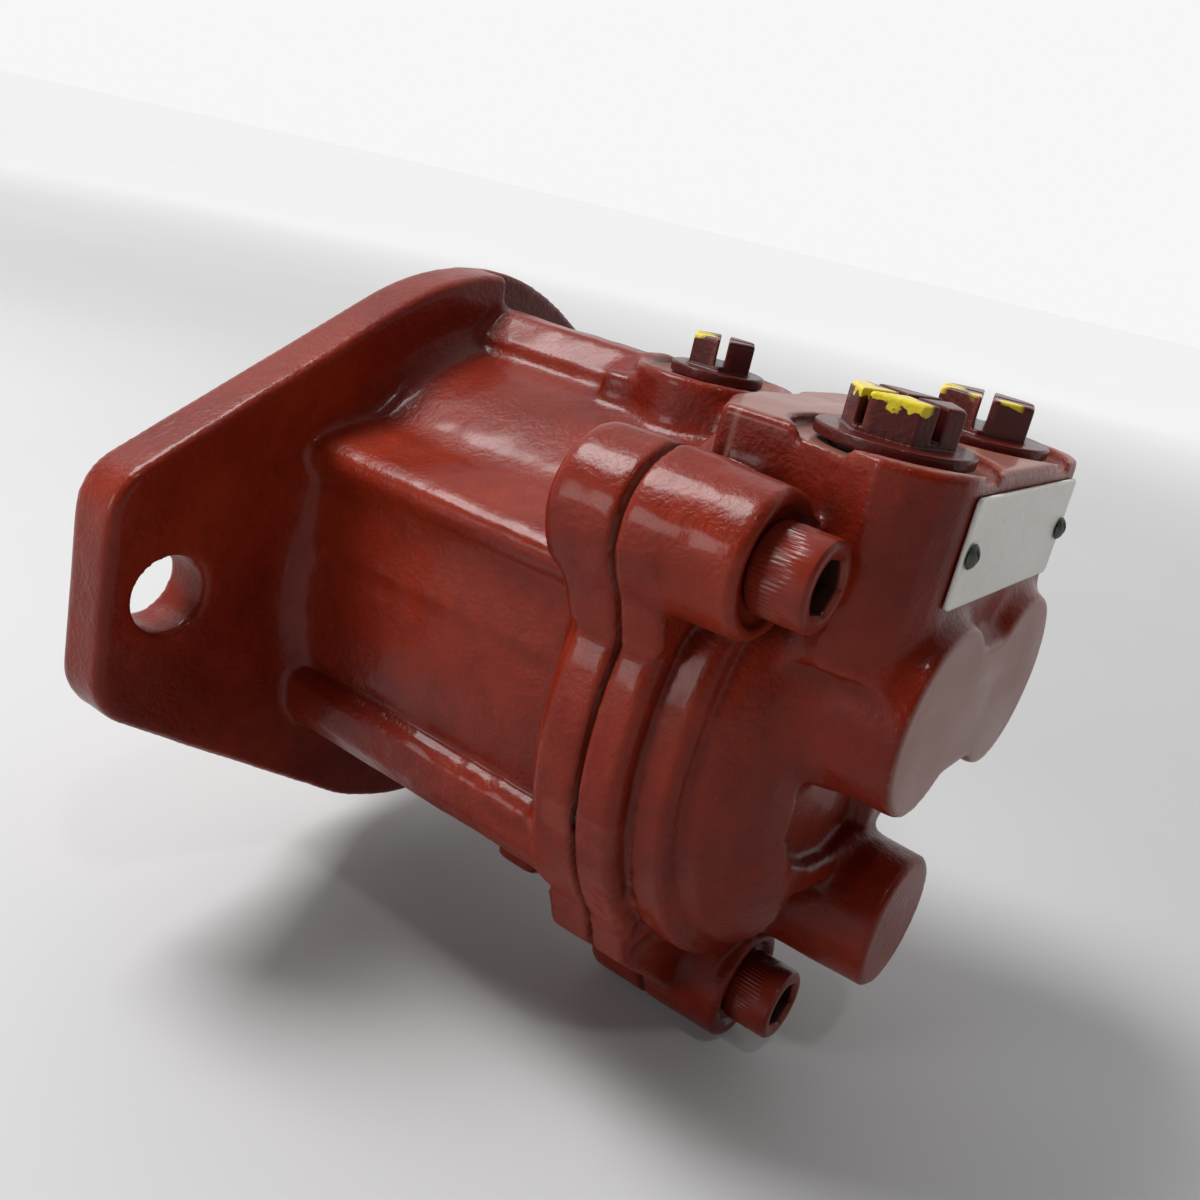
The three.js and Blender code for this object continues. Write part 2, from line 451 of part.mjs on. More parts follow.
// ---------- cylinder block, hold-down spring, valve plate ----------
{
  let b = rod(BLOCK_X0, BLOCK_X1, 34, 0, 0, 24);
  b = b.subtract(rod(40, 90, 11.6, 0, 0, 20));
  b = b.subtract(rod(62, 78.9, 15.25, 0, 0, 20));
  for (const [x, y, z] of balls) {
    b = b.subtract(rod(50, 80.2, PISTON_R + 0.2, y, z, 8));
    b = b.subtract(rod(79, BLOCK_X1 + 1, 3.2, y, z, 6));
  }
  add('cylinder_block', toG(b), 'iron');
}
add('retainer_hub', latheX([[42.3, 11.6], [42.3, 13.8], [43.7, 13.9], [45.6, 13.77], [50.4, 12.4], [55.2, 12.4], [55.2, 11.6], [42.3, 11.6]], 20), 'steel');
add('spring_washer_front', ringX(62.4, 63.6, 11.6, 14.9, 20), 'steel');
{
  // hold-down spring: round wire on a helix with closed, stepped-in ends
  class Helix extends THREE.Curve {
    getPoint(t, o = new THREE.Vector3()) {
      const a = t * 2 * Math.PI * 4.5;
      return o.set(64.9 + t * 11.3, 13.3 * Math.cos(a), 13.3 * Math.sin(a));
    }
  }
  const sh = new THREE.Shape(arc(0, 0, 0.85, 0, 2 * Math.PI * 5 / 6, 5).map(([a, b]) => new THREE.Vector2(a, b)));
  add('block_spring', toG(toM(new THREE.ExtrudeGeometry(sh, { steps: 36, bevelEnabled: false, extrudePath: new Helix() }))), 'steel');
}
add('spring_washer_rear', ringX(77.3, 78.5, 11.6, 14.9, 20), 'steel');
{
  let v = toM(ringX(BLOCK_X1 + GAP, SPLIT_X - 0.2, 14.5, 33, 24));
  for (const s of [-1, 1]) {
    const c = s > 0 ? 0 : Math.PI;
    const o = [...arc(0, 0, 25.2, c - 58 * D, c + 58 * D, 6), ...arc(0, 0, 19.8, c + 58 * D, c - 58 * D, 6)];
    v = v.subtract(slabX(o, 70, 99));
  }
  v = v.subtract(rod(70, 99, 2.0, 0, -29, 8));
  add('valve_plate', toG(v), 'bronze');
}

export default root;
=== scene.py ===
import bpy, bmesh, json, math
import numpy as np
from mathutils import Matrix, Vector


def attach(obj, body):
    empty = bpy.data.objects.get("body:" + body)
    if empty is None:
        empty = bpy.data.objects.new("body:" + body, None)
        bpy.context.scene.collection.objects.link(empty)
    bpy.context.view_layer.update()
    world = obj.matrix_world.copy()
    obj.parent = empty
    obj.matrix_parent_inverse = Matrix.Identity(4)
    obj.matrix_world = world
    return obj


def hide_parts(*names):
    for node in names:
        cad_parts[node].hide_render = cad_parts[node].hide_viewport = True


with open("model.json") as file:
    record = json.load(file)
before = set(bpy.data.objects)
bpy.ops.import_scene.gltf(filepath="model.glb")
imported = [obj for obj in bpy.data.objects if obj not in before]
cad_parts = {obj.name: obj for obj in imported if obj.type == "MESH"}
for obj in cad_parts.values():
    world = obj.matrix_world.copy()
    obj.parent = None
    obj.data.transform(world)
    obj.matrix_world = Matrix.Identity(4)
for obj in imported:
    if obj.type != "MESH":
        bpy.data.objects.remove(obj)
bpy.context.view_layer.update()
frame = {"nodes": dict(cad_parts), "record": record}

MM = 0.001

# ------------------------------------------------------------------ camera
R = np.array([[0.7825, 0.5847, 0.2139], [0.3562, -0.1387, -0.9241], [-0.5107, 0.7993, -0.3168]])
u, _, vt = np.linalg.svd(R); R = u @ vt
cam_data = bpy.data.cameras.new("view")
cam = bpy.data.objects.new("view", cam_data)
bpy.context.scene.collection.objects.link(cam)
cam_data.sensor_width = 36.0
cam_data.lens = 1189.08 / 1200 * 36.0
cam_data.clip_start = 0.01
cam_data.clip_end = 50.0
m = Matrix.Identity(4)
for i in range(3):
    m[i][0] = R[0][i]; m[i][1] = -R[1][i]; m[i][2] = -R[2][i]
m[0][3], m[1][3], m[2][3] = 0.17241, -0.19268, 0.07945
cam.matrix_world = m
bpy.context.scene.camera = cam

# ------------------------------------------------------------------ distance-field modelling, millimetres
class G:
    """A regular grid and the shapes measured on it."""
    def __init__(s, lo, hi, h):
        s.h = h; s.lo = np.array(lo, np.float32)
        s.xs, s.ys, s.zs = [np.arange(a, b + h, h, dtype=np.float32) for a, b in zip(lo, hi)]
        s.X = s.xs[:, None, None]; s.Y = s.ys[None, :, None]; s.Z = s.zs[None, None, :]
    def cylx(s, y, z, r, x0, x1, rr=0.8, taper=0.0):
        a = np.hypot(s.Y - y, s.Z - z) - (r - rr) + taper * (s.X - x0)
        b = np.abs(s.X - (x0 + x1) / 2) - ((x1 - x0) / 2 - rr)
        return s._join(a, b, rr)
    def cylz(s, x, y, r, z0, z1, rr=0.8):
        a = np.hypot(s.X - x, s.Y - y) - (r - rr)
        b = np.abs(s.Z - (z0 + z1) / 2) - ((z1 - z0) / 2 - rr)
        return s._join(a, b, rr)
    @staticmethod
    def _join(a, b, rr):
        return np.hypot(np.maximum(a, 0), np.maximum(b, 0)) + np.minimum(np.maximum(a, b), 0) - rr
    def polyx(s, pts, x0, x1, rr=0.8, draft=0.0):
        d = poly2(s.ys[:, None], s.zs[None, :], pts)[None]
        a = d + rr + draft * (s.X - x0)
        b = np.abs(s.X - (x0 + x1) / 2) - ((x1 - x0) / 2 - rr)
        return s._join(a, b, rr)
    def polyz(s, pts, z0, z1, rr=0.8, draft=0.0):
        d = poly2(s.xs[:, None], s.ys[None, :], pts)[:, :, None]
        a = d + rr + draft * (s.Z - z1)
        b = np.abs(s.Z - (z0 + z1) / 2) - ((z1 - z0) / 2 - rr)
        return s._join(a, b, rr)
    def polyy(s, pts, y0, y1, rr=0.8):
        d = poly2(s.xs[:, None], s.zs[None, :], pts)[:, None, :]
        b = np.abs(s.Y - (y0 + y1) / 2) - ((y1 - y0) / 2 - rr)
        return s._join(d + rr, b, rr)
    def lathex(s, prof, y=0.0, z=0.0, rr=0.0):
        rad = np.hypot(s.Y - y, s.Z - z)
        n = int(float(rad.max()) / 0.25) + 3
        tab = poly2(s.xs[:, None], (np.arange(n) * 0.25)[None, :], prof).astype(np.float32)
        i = np.minimum((rad[0] / 0.25).astype(int), n - 2); f = (rad[0] / 0.25 - i).astype(np.float32)
        return tab[:, i] * (1 - f) + tab[:, i + 1] * f - rr
    def box(s, lo, hi, rr=0.5):
        q = []
        for A, a, b in ((s.X, lo[0], hi[0]), (s.Y, lo[1], hi[1]), (s.Z, lo[2], hi[2])):
            q.append(np.abs(A - (a + b) / 2) - ((b - a) / 2 - rr))
        o = np.sqrt(np.maximum(q[0], 0) ** 2 + np.maximum(q[1], 0) ** 2 + np.maximum(q[2], 0) ** 2)
        return o + np.minimum(np.maximum(q[0], np.maximum(q[1], q[2])), 0) - rr
    def sphere(s, x, y, z, r, sx=1.0, sy=1.0, sz=1.0):
        return (np.sqrt(((s.X - x) / sx) ** 2 + ((s.Y - y) / sy) ** 2 + ((s.Z - z) / sz) ** 2) - r) * min(sx, sy, sz)

def poly2(px, py, pts):
    """Signed distance to a closed outline, negative inside."""
    P = np.array(pts, np.float64)
    px, py = np.broadcast_arrays(px.astype(np.float64), py.astype(np.float64))
    d = np.full(px.shape, 1e12); sgn = np.zeros(px.shape, bool)
    for i in range(len(P)):
        a, b = P[i], P[(i + 1) % len(P)]
        e = b - a; L = e @ e
        if L < 1e-12:
            continue
        wx, wy = px - a[0], py - a[1]
        t = np.clip((wx * e[0] + wy * e[1]) / L, 0, 1)
        d = np.minimum(d, (wx - t * e[0]) ** 2 + (wy - t * e[1]) ** 2)
        c = (a[1] > py) != (b[1] > py)
        if abs(e[1]) > 1e-12:
            sgn ^= c & (px < e[0] * (py - a[1]) / e[1] + a[0])
    d = np.sqrt(d)
    return np.where(sgn, -d, d).astype(np.float32)

def smin(a, b, k):
    if k <= 0:
        return np.minimum(a, b)
    h = np.clip(0.5 + 0.5 * (b - a) / k, 0, 1)
    return b + (a - b) * h - k * h * (1 - h)

def smax(a, b, k):
    return -smin(-a, -b, k)

def arc(cy, cz, r, a0, a1, n):
    return [(cy + r * math.cos(a0 + (a1 - a0) * i / n), cz + r * math.sin(a0 + (a1 - a0) * i / n)) for i in range(n + 1)]

def mirror(p):
    return [(-a, b) for a, b in p][::-1]

def value_noise(g, size, seed):
    """Smooth noise on the grid, feature size in mm, about -1 to 1."""
    rng = np.random.RandomState(seed)
    n = [int((len(a) * g.h) / size) + 4 for a in (g.xs, g.ys, g.zs)]
    t = rng.rand(*n).astype(np.float32) * 2 - 1
    for ax, a in enumerate((g.xs, g.ys, g.zs)):
        f = (a - a[0]) / size; i = f.astype(int); f = f - i; f = f * f * (3 - 2 * f)
        sh = [1, 1, 1]; sh[ax] = len(a); f = f.reshape(sh).astype(np.float32)
        t = np.take(t, i, ax) * (1 - f) + np.take(t, i + 1, ax) * f
    return t

def sample(g, D, p):
    q = (p - g.lo) / g.h
    n = np.array(D.shape) - 2
    i = np.clip(q.astype(int), 0, n); f = np.clip(q - i, 0, 1)
    o = 0
    for a in (0, 1):
        for b in (0, 1):
            for c in (0, 1):
                w = (f[:, 0] if a else 1 - f[:, 0]) * (f[:, 1] if b else 1 - f[:, 1]) * (f[:, 2] if c else 1 - f[:, 2])
                o = o + w * D[i[:, 0] + a, i[:, 1] + b, i[:, 2] + c]
    return o

def grad(g, D, p, e):
    o = np.zeros_like(p)
    for k in range(3):
        d = np.zeros(3); d[k] = e
        o[:, k] = sample(g, D, p + d) - sample(g, D, p - d)
    return o / (2 * e)

def nets(g, D):
    """Closed quad mesh of the zero level: vertices in mm and faces."""
    S = D < 0
    nx, ny, nz = D.shape
    c = np.zeros((nx - 1, ny - 1, nz - 1), np.uint8)
    for a in (0, 1):
        for b in (0, 1):
            for e in (0, 1):
                c += S[a:nx - 1 + a, b:ny - 1 + b, e:nz - 1 + e]
    act = (c > 0) & (c < 8)
    idx = np.argwhere(act)
    vid = np.full(act.shape, -1, np.int64); vid[act] = np.arange(len(idx))
    val = {}
    for a in (0, 1):
        for b in (0, 1):
            for e in (0, 1):
                val[(a, b, e)] = D[idx[:, 0] + a, idx[:, 1] + b, idx[:, 2] + e].astype(np.float64)
    acc = np.zeros((len(idx), 3)); cnt = np.zeros(len(idx))
    ks = list(val)
    for p in ks:
        for ax in range(3):
            if p[ax] == 0:
                q = list(p); q[ax] = 1; q = tuple(q)
                v0, v1 = val[p], val[q]
                x = (v0 < 0) != (v1 < 0)
                t = np.where(x, v0 / np.where(np.abs(v0 - v1) < 1e-12, 1, v0 - v1), 0)
                pos = np.tile(np.array(p, float), (len(idx), 1)); pos[:, ax] += t
                acc[x] += pos[x]; cnt += x
    V = (idx + acc / cnt[:, None]) * g.h + g.lo
    F = []
    for ax in range(3):
        b, c2 = (ax + 1) % 3, (ax + 2) % 3
        s0 = [slice(None)] * 3; s1 = [slice(None)] * 3
        s0[ax] = slice(0, -1); s1[ax] = slice(1, None)
        ch = S[tuple(s0)] != S[tuple(s1)]
        e = np.argwhere(ch)
        e = e[(e[:, b] > 0) & (e[:, c2] > 0) & (e[:, b] < D.shape[b] - 1) & (e[:, c2] < D.shape[c2] - 1)]
        inside = S[e[:, 0], e[:, 1], e[:, 2]]
        o = []
        for db, dc in ((-1, -1), (0, -1), (0, 0), (-1, 0)):
            t = e.copy(); t[:, b] += db; t[:, c2] += dc
            o.append(vid[t[:, 0], t[:, 1], t[:, 2]])
        o = np.stack(o, 1)
        o[~inside] = o[~inside][:, ::-1]
        F.append(o)
    F = np.concatenate(F)
    return V, F[(F >= 0).all(1)]

def piece(name, V, F, body, mat, attrs=None, normals=None, smooth=True):
    me = bpy.data.meshes.new(name)
    me.from_pydata((V * MM).tolist(), [], F.tolist() if hasattr(F, "tolist") else F)
    me.update()
    if smooth:
        me.polygons.foreach_set("use_smooth", [True] * len(me.polygons))
    for k, v in (attrs or {}).items():
        at = me.attributes.new(k, "FLOAT", "POINT")
        at.data.foreach_set("value", np.asarray(v, np.float32))
    if normals is not None:
        me.normals_split_custom_set_from_vertices(normals.tolist())
    ob = bpy.data.objects.new(name, me)
    bpy.context.scene.collection.objects.link(ob)
    me.materials.append(mat)
    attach(ob, body)
    return ob

def sdf_piece(name, g, D, body, mat, machined_and_sheen=None, refine=2, reach=2.2):
    V, F = nets(g, D)
    for _ in range(refine):
        d = sample(g, D, V); n = grad(g, D, V, g.h * 0.5)
        L = (n ** 2).sum(1)
        V = V - np.clip(d, -g.h, g.h)[:, None] * n / np.maximum(L, 0.25)[:, None]
    n = grad(g, D, V, g.h * 0.75)
    n /= np.maximum(np.linalg.norm(n, axis=1), 1e-6)[:, None]
    # how enclosed each point is; the paint uses it to paint shade into creases and recesses
    crevice_shade_amount = np.clip(1 - sample(g, D, V + n * reach) / reach, 0, 1)
    edge = np.clip(1 + sample(g, D, V - n * reach) / reach, 0, 1)
    at = {"crevice_shade": crevice_shade_amount, "edge": edge}
    if machined_and_sheen is not None:
        at["machined_and_sheen"] = machined_and_sheen(V, n)
    else:
        at["machined_and_sheen"] = np.zeros(len(V))
    return piece(name, V, F, body, mat, at, n)

# ------------------------------------------------------------------ materials
def nt(name):
    mat = bpy.data.materials.new(name); mat.use_nodes = True
    t = mat.node_tree; t.nodes.clear()
    out = t.nodes.new("ShaderNodeOutputMaterial"); b = t.nodes.new("ShaderNodeBsdfPrincipled")
    t.links.new(b.outputs[0], out.inputs[0])
    tc = t.nodes.new("ShaderNodeTexCoord")
    return mat, t, b, tc.outputs["Object"]

def noise(t, co, scale, detail=4, rough=0.55, dist=0.0):
    n = t.nodes.new("ShaderNodeTexNoise"); n.inputs["Scale"].default_value = scale
    n.inputs["Detail"].default_value = detail; n.inputs["Roughness"].default_value = rough
    n.inputs["Distortion"].default_value = dist
    t.links.new(co, n.inputs["Vector"]); return n.outputs["Fac"]

def ramp(t, fac, stops):
    r = t.nodes.new("ShaderNodeValToRGB"); e = r.color_ramp.elements
    while len(e) < len(stops): e.new(0.5)
    for s, (p, c) in zip(e, stops):
        s.position = p; s.color = (*c, 1) if len(c) == 3 else c
    t.links.new(fac, r.inputs["Fac"]); return r.outputs["Color"]

def mix(t, fac, a, b, mode="MIX"):
    n = t.nodes.new("ShaderNodeMix"); n.data_type = "RGBA"; n.blend_type = mode
    for k, v in (("Factor", fac), ("A", a), ("B", b)):
        s = [i for i in n.inputs if i.name == k and (i.type == "RGBA" if k != "Factor" else i.type == "VALUE")][0]
        if isinstance(v, (int, float)): s.default_value = v
        elif isinstance(v, tuple): s.default_value = (*v, 1)
        else: t.links.new(v, s)
    return [o for o in n.outputs if o.type == "RGBA"][0]

def mth(t, op, a, b=0.0, c=0.0, clamp=False):
    n = t.nodes.new("ShaderNodeMath"); n.operation = op; n.use_clamp = clamp
    for s, v in zip(n.inputs, (a, b, c)):
        if isinstance(v, (int, float)): s.default_value = v
        else: t.links.new(v, s)
    return n.outputs[0]

def attr(t, name):
    n = t.nodes.new("ShaderNodeAttribute"); n.attribute_name = name
    return n.outputs["Fac"]

def maprange(t, v, a, b, c=0.0, d=1.0):
    n = t.nodes.new("ShaderNodeMapRange"); n.clamp = True
    for k, x in zip(("From Min", "From Max", "To Min", "To Max"), (a, b, c, d)): n.inputs[k].default_value = x
    t.links.new(v, n.inputs["Value"]); return n.outputs[0]

def bump(t, b, layers):
    prev = None
    for h, dist, strength in layers:
        n = t.nodes.new("ShaderNodeBump"); n.inputs["Distance"].default_value = dist
        if isinstance(strength, (int, float)): n.inputs["Strength"].default_value = strength
        else: t.links.new(strength, n.inputs["Strength"])
        t.links.new(h, n.inputs["Height"])
        if prev is not None: t.links.new(prev, n.inputs["Normal"])
        prev = n.outputs[0]
    t.links.new(prev, b.inputs["Normal"])

def paint(name, lo, mid, hi, rough=0.34, cast=1.0, attrs=True, yellow=None):
    mat, t, b, co = nt(name)
    big = noise(t, co, 28, 3); fine = noise(t, co, 240, 5, 0.6)
    col = ramp(t, big, [(0.3, lo), (0.52, mid), (0.75, hi)])
    col = mix(t, mth(t, "MULTIPLY", maprange(t, fine, 0.45, 0.75), 0.35), col, tuple(0.55 * c for c in lo))
    # small specks where dust sits in the wet film
    speck = maprange(t, noise(t, co, 900, 2, 0.4), 0.72, 0.78)
    col = mix(t, mth(t, "MULTIPLY", speck, 0.25), col, (0.20, 0.07, 0.055))
    rgh = maprange(t, noise(t, co, 60, 4), 0.3, 0.75, rough * 0.75, rough * 1.35)
    if attrs:
        crevice_shade_fac, ed, machined_and_sheen_fac = attr(t, "crevice_shade"), attr(t, "edge"), attr(t, "machined_and_sheen")
        # painted shade: darker red in creases and recesses where shade falls
        col = mix(t, mth(t, "MULTIPLY", maprange(t, crevice_shade_fac, 0.15, 0.75), 0.75), col, tuple(0.35 * c for c in lo))
        # lighter red on convex edges in random patches: partly rubbed paint, partly a painted edge highlight
        edge_wear_and_highlight = mth(t, "MULTIPLY", maprange(t, ed, 0.45, 0.85), maprange(t, noise(t, co, 170, 4), 0.35, 0.7))
        col = mix(t, mth(t, "MULTIPLY", edge_wear_and_highlight, 0.5), col, (0.26, 0.060, 0.038))
        # greyish pink on machined faces: partly their machined finish, partly a painted reflection of the bright
        # surroundings seen at grazing angles
        col = mix(t, mth(t, "MULTIPLY", machined_and_sheen_fac, maprange(t, fine, 0.3, 0.7, 0.5, 0.68)), col, (0.25, 0.118, 0.090))
        k = mth(t, "SUBTRACT", 1.0, mth(t, "MULTIPLY", machined_and_sheen_fac, 0.85))
        peel = noise(t, co, 1150, 3, 0.5); sand = noise(t, co, 420, 4, 0.6); wave = noise(t, co, 120, 3, 0.5)
        bump(t, b, [(wave, 0.0012, mth(t, "MULTIPLY", k, 0.26 * cast)), (sand, 0.0005, mth(t, "MULTIPLY", k, 0.46 * cast)), (peel, 0.00025, mth(t, "MULTIPLY", k, 0.6))])
    else:
        # painted shade: near-black inside the hex socket where shade falls, partly also the socket's unpainted dark
        # steel
        col = mix(t, mth(t, "MULTIPLY", attr(t, "socket_shade"), 0.9), col, (0.012, 0.008, 0.007))
        bump(t, b, [(noise(t, co, 700, 3), 0.00025, 0.35)])
    if yellow is not None:
        col = yellow(t, co, col)
    t.links.new(col, b.inputs["Base Color"]); t.links.new(rgh, b.inputs["Roughness"])
    b.inputs["Specular IOR Level"].default_value = 0.11
    b.inputs["Coat Weight"].default_value = 0.17; b.inputs["Coat Roughness"].default_value = 0.13
    b.inputs["Coat IOR"].default_value = 1.5
    return mat

def metal(name, col, col2, rough=0.35, metallic=0.95, scale=220, b1=0.25):
    mat, t, b, co = nt(name)
    n1 = noise(t, co, 45, 4); n2 = noise(t, co, scale, 5, 0.6)
    c = ramp(t, n1, [(0.3, col), (0.7, col2)])
    c = mix(t, mth(t, "MULTIPLY", maprange(t, n2, 0.5, 0.8), 0.4), c, tuple(0.5 * x for x in col))
    t.links.new(c, b.inputs["Base Color"])
    t.links.new(maprange(t, n2, 0.3, 0.7, rough * 0.75, rough * 1.3), b.inputs["Roughness"])
    b.inputs["Metallic"].default_value = metallic
    bump(t, b, [(n2, 0.0002, b1)])
    return mat

def rubber(name):
    mat, t, b, co = nt(name)
    n1 = noise(t, co, 300, 4)
    t.links.new(ramp(t, n1, [(0.3, (0.012, 0.012, 0.012)), (0.7, (0.03, 0.029, 0.028))]), b.inputs["Base Color"])
    t.links.new(maprange(t, n1, 0.3, 0.7, 0.5, 0.8), b.inputs["Roughness"])
    bump(t, b, [(n1, 0.0002, 0.3)])
    return mat

LO, MIDC, HI = (0.118, 0.0080, 0.0028), (0.170, 0.0130, 0.0040), (0.226, 0.0205, 0.0055)
M_paint = paint("red_enamel", LO, MIDC, HI)
M_screw = paint("screw_enamel", (0.13, 0.012, 0.0065), (0.175, 0.019, 0.0095), (0.22, 0.030, 0.014), rough=0.3, attrs=False)
M_steel = metal("ground_steel", (0.42, 0.42, 0.41), (0.55, 0.55, 0.53), 0.28)
M_iron = metal("machined_iron", (0.16, 0.16, 0.155), (0.24, 0.235, 0.23), 0.45, 0.8)
M_bronze = metal("bearing_bronze", (0.42, 0.25, 0.09), (0.55, 0.36, 0.15), 0.35)
M_dark = metal("dark_zinc", (0.055, 0.06, 0.05), (0.12, 0.13, 0.11), 0.45, 0.7)
M_rubber = rubber("nitrile")

carry = {"steel": M_steel, "cast_iron": M_iron, "bronze": M_bronze, "rubber": M_rubber, "dark_steel": M_dark}
sub = {s["node"]: s["material_slot"] for s in frame["record"]["subparts"]}
for n, o in frame["nodes"].items():
    mt = carry.get(sub[n], M_paint if sub[n] == "red_paint" else M_screw)
    o.data.materials.clear() if not o.material_slots else None
    if o.material_slots:
        for sl in o.material_slots: sl.material = mt
    else:
        o.data.materials.append(mt)

# ------------------------------------------------------------------ housing casting
FR, SL, EY, EC, FT = 59.4, 0.51, 85.7, 11.0, 11.0
def flange_outline(n=14):
    sp, cp = math.sin(SL), math.cos(SL); a = math.pi / 2 - SL
    zc = (FR - sp * EY) / cp; t = EC * math.tan((math.pi / 2 - SL) / 2)
    q = arc(EY - EC, zc - t, EC, 0, math.pi / 2 - SL, n)
    up = q + arc(0, 0, FR, a, math.pi - a, 3 * n) + mirror(q)
    return up + [(y, -z) for y, z in up][::-1]
SCREWS = [(-45.4, 36.3), (45.4, 36.3), (0.0, -57.8)]
RIB_UL = [(-28, 24), (-30.5, 31.6), (-37, 30.4), (-44.8, 27.8), (-47.0, 26.0), (-47.4, 23.8), (-46.4, 22.0), (-44.6, 20.4), (-45.2, 8), (-40, 2)]
RIB_LL = [(-36, -14), (-40.5, -17.6), (-43.6, -18.6), (-45.2, -20.8), (-44.6, -27), (-41.4, -31.2), (-34, -33.5), (-28, -30)]
RIB_TOP = [(3.5, 40), (3.5, 53), (-2.5, 53), (-7.5, 48.0), (-9.5, 40)]
WEB_U = [(-30, 30), (-33.5, 45.5), (-46.5, 48.0), (-56.6, 34), (-49.5, 18)]
WEB_LOW = [(-38, -36), (-34.6, -43.6), (-11.8, -60.0), (11.8, -60.0), (34.6, -43.6), (38, -36)]
SPLIT = 85.5

h = 1.04
g = G((-12, -88, -72), (88, 88, 63), h)
fl = g.polyx(flange_outline(), 0, FT, 1.6)
fl = smax(fl, -g.box((4.5, -1.0, 40), (14, 44, 70), 0.4), 0.5)
D = smin(fl, g.cylx(0, 0, 45.5, 2, SPLIT - 3, 1.0), 7.5)
for rb in (RIB_UL, mirror(RIB_UL)):
    D = smin(D, g.polyx(rb, 6, 80, 0.9), 2.0)
for rb in (RIB_LL, mirror(RIB_LL)):
    D = smin(D, g.polyx(rb, 6, 80, 0.7), 1.4)
D = smin(D, g.polyx(RIB_TOP, 3, 52, 1.2), 2.6)
# the joint flange with its screw lobes
J = g.lathex([(75, 0), (75, 49.2), (77.6, 52), (SPLIT, 52), (SPLIT, 0)], rr=0.0)
for i, (y, z) in enumerate(SCREWS):
    J = smin(J, g.lathex([(71.5, 0), (71.5, 10.0), (73.4, 12), (SPLIT, 12), (SPLIT, 0)], y, z), 3.2 if i < 2 else 3.0)
J = smin(J, g.polyx(WEB_U, 75, SPLIT, 1.5), 2.0)
J = smin(J, g.polyx(mirror(WEB_U), 75, SPLIT, 1.5), 2.0)
J = smin(J, g.polyx(WEB_LOW, 76, SPLIT, 1.5), 2.0)
D = smin(D, J, 2.6)
# drain boss, low pad
dr = smin(g.cylz(63, 0, 14.8, 30, 53, 0.8), g.box((46, -12.6, 34), (76, 12.6, 50.2), 2.0), 2.0)
D = smin(D, dr, 2.8)
D = smin(D, g.polyx([(-27, -36), (-24, -45.5), (-14, -49.5), (-8, -49.5), (-8, -40)], 54, 64, 2.0), 2.5)
D = smax(D, g.X - SPLIT, 0.9)                        # machined joint face
rough_cast = np.clip(1 - (np.abs(g.X - 52) - 18) / 4, 0, 1) * np.clip(1 - (np.abs(np.hypot(g.Y, g.Z) - 49.5) - 2.5) / 1.5, 0, 1) * ((g.Z < -17) & (g.Z > -30) & (g.Y < 0))
cast = D + 0.16 * value_noise(g, 9.0, 3) + 0.07 * value_noise(g, 3.2, 5) + 0.2 * rough_cast * value_noise(g, 1.9, 6)
keep = np.clip((np.minimum(np.abs(g.X - SPLIT), np.abs(g.X)) - 0.6) / 1.0, 0, 1)
D = D * (1 - keep) + cast * keep
D = smax(D, g.X - SPLIT, 0.9)
D = np.maximum(D, -g.X) * 1.0
D = np.minimum(D, g.cylx(0, 0, 50.8, -9.7, 2, 0.9))   # pilot
# cuts
def cut(D, c, k=0.5): return smax(D, -c, k)
D = cut(D, g.cylx(0, 0, 38.5, 23, 95, 0.3), 0.4)
D = cut(D, g.cylx(0, 0, 29.3, 3.2, 30, 0.3), 0.3)
D = cut(D, g.cylx(0, 0, 19.8, -20, 2, 0.3), 0.5)
D = cut(D, g.cylx(0, 0, 14.2, -20, 8, 0.3), 0.4)
for s in (-1, 1):
    D = cut(D, g.cylx(s * 73.025, 0, 7.15, -5, 16, 0.2), 0.8)
for y, z in SCREWS:
    D = cut(D, g.cylx(y, z, 5.3, 72.9, 95, 0.2), 0.3)
D = cut(D, g.cylz(63, 0, 12, 52, 60, 0.3), 0.4)
D = cut(D, g.cylz(63, 0, 5.6, 30, 60, 0.3), 0.4)
for s in (-1, 1):
    D = cut(D, np.maximum(g.cylx(s * 46.6, -13, 2.35, 80, 95, 0.2), np.hypot(g.Y, g.Z) - 50.3), 0.2)
D = cut(D, np.maximum(np.abs(np.hypot(g.Y, g.Z) - 42.45) - 1.25, 83.9 - g.X), 0.2)
D = D.astype(np.float32)
# faces that get the machined tint with its painted reflection: joint face, front face (weaker) and drain spotface
def machined_and_sheen_housing(V, n):
    a = (np.abs(V[:, 0] - SPLIT) < 0.4) | (V[:, 0] < 0.5) | ((np.hypot(V[:, 0] - 63, V[:, 1]) < 12.4) & (V[:, 2] > 50))
    return a * np.where(V[:, 0] < 0.5, 0.55, 1.0)
housing = sdf_piece("housing_casting", g, D, "pump_body", M_paint, machined_and_sheen_housing)
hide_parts("housing")

